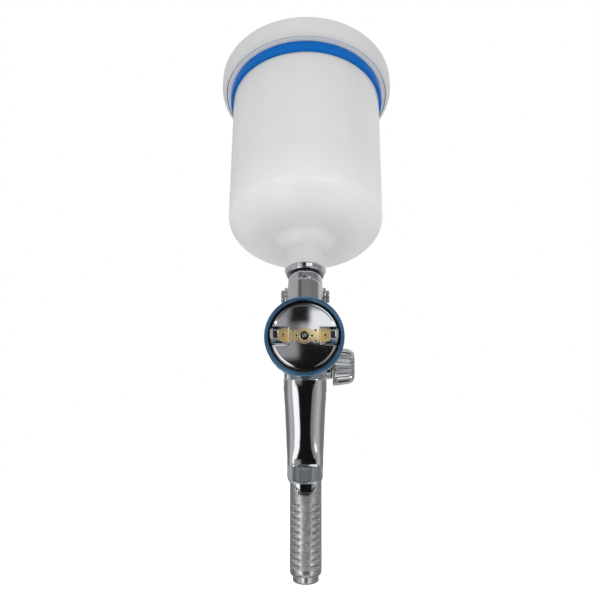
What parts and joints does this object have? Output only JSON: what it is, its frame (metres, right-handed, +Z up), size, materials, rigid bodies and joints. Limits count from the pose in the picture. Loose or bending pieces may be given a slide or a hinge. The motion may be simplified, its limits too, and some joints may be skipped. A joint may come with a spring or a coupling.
{
  "type": "spray gun",
  "caption": "Gravity-feed air spray gun: paint cup on a leaning stem, horned air cap in a clamping ring, two-finger trigger, fan and fluid knobs, air inlet at the foot of the handle.",
  "frame": {"origin": "centre of the air inlet's mouth at the foot of the handle", "axes": "+Z up towards the cup, the barrel along Y with the air cap towards -Y, +X to the right as seen from the front"},
  "size_m": [0.1078, 0.1437, 0.3268],
  "materials": {
    "body": "bright chrome plate",
    "chrome": "bright plate",
    "steel": "turned",
    "brass": "turned",
    "blue_metal": "blue anodised",
    "nylon": "milky",
    "white_plastic": "satin",
    "blue_plastic": "gloss",
    "black_plastic": "satin",
    "seal": "matt"
  },
  "bodies": {
    "gun": {"gun_body": "body", "stem_seal": "seal", "pivot_screws": "steel", "air_baffle": "steel", "fluid_nozzle": "brass", "needle_packing": "white_plastic", "packing_nut": "brass", "rear_guide": "steel", "valve_gland": "brass", "valve_seat": "brass", "valve_plug": "steel", "fan_bush": "steel", "inlet_seal": "seal", "air_inlet": "chrome", "needle_spring": "steel", "valve_spring": "steel"},
    "air_cap": {"air_cap": "brass"},
    "cap_ring": {"air_cap_ring": "blue_metal", "cap_retainer": "black_plastic"},
    "needle": {"fluid_needle": "steel", "needle_collar": "brass"},
    "fluid_knob": {"fluid_knob": "chrome"},
    "trigger": {"trigger": "chrome", "trigger_yoke": "steel"},
    "air_valve": {"air_valve_stem": "steel", "poppet_seal": "seal"},
    "fan_knob": {"fan_knob": "chrome", "fan_spindle": "steel", "fan_knob_screw": "steel"},
    "cup": {"cup": "nylon", "cup_connector": "chrome", "strainer": "nylon", "lid_band": "blue_plastic"},
    "lid": {"cup_lid": "white_plastic", "lid_gasket": "white_plastic", "vent_plug": "white_plastic"}
  },
  "joints": [
    {"name": "trigger_pull", "type": "hinge", "parent": "gun", "child": "trigger", "pos_m": [0, -0.06009, 0.15972], "axis": [1, 0, 0], "range_deg": [0, 11], "stiffness_Nm_per_rad": 2, "springref_deg": -8.59},
    {"name": "needle_slide", "type": "slide", "parent": "gun", "child": "needle", "axis": [0, 1, 0], "range_m": [0, 0.0064], "deforming": ["needle_spring"]},
    {"name": "valve_slide", "type": "slide", "parent": "gun", "child": "air_valve", "axis": [0, 1, 0], "range_m": [0, 0.0098], "deforming": ["valve_spring"]},
    {"name": "fluid_knob_turn", "type": "hinge", "parent": "gun", "child": "fluid_knob", "pos_m": [0, 0.01391, 0.13102], "axis": [0, 1, 0], "range_deg": [0, 1080]},
    {"name": "fan_knob_turn", "type": "hinge", "parent": "gun", "child": "fan_knob", "pos_m": [0.02, -0.03909, 0.12332], "axis": [1, 0, 0], "range_deg": [0, 450]},
    {"name": "air_cap_turn", "type": "hinge", "parent": "gun", "child": "air_cap", "pos_m": [0, -0.10209, 0.13102], "axis": [0, 1, 0], "range_deg": [-90, 90]},
    {"name": "cap_ring_turn", "type": "hinge", "parent": "gun", "child": "cap_ring", "pos_m": [0, -0.10009, 0.13102], "axis": [0, -1, 0], "range_deg": [0, 1080]},
    {"name": "cup_unscrew", "type": "hinge", "parent": "gun", "child": "cup", "pos_m": [0, -0.07409, 0.13102], "axis": [0, 0.2924, 0.9563], "range_deg": [0, 1080]},
    {"name": "lid_lift", "type": "slide", "parent": "cup", "child": "lid", "axis": [0, 0.2924, 0.9563], "range_m": [0, 0.05]}
  ],
  "couplings": [
    {"joint": "needle_slide", "follows": "trigger_pull", "m_per_rad": 0.0328},
    {"joint": "valve_slide", "follows": "trigger_pull", "m_per_rad": 0.0505}
  ]
}
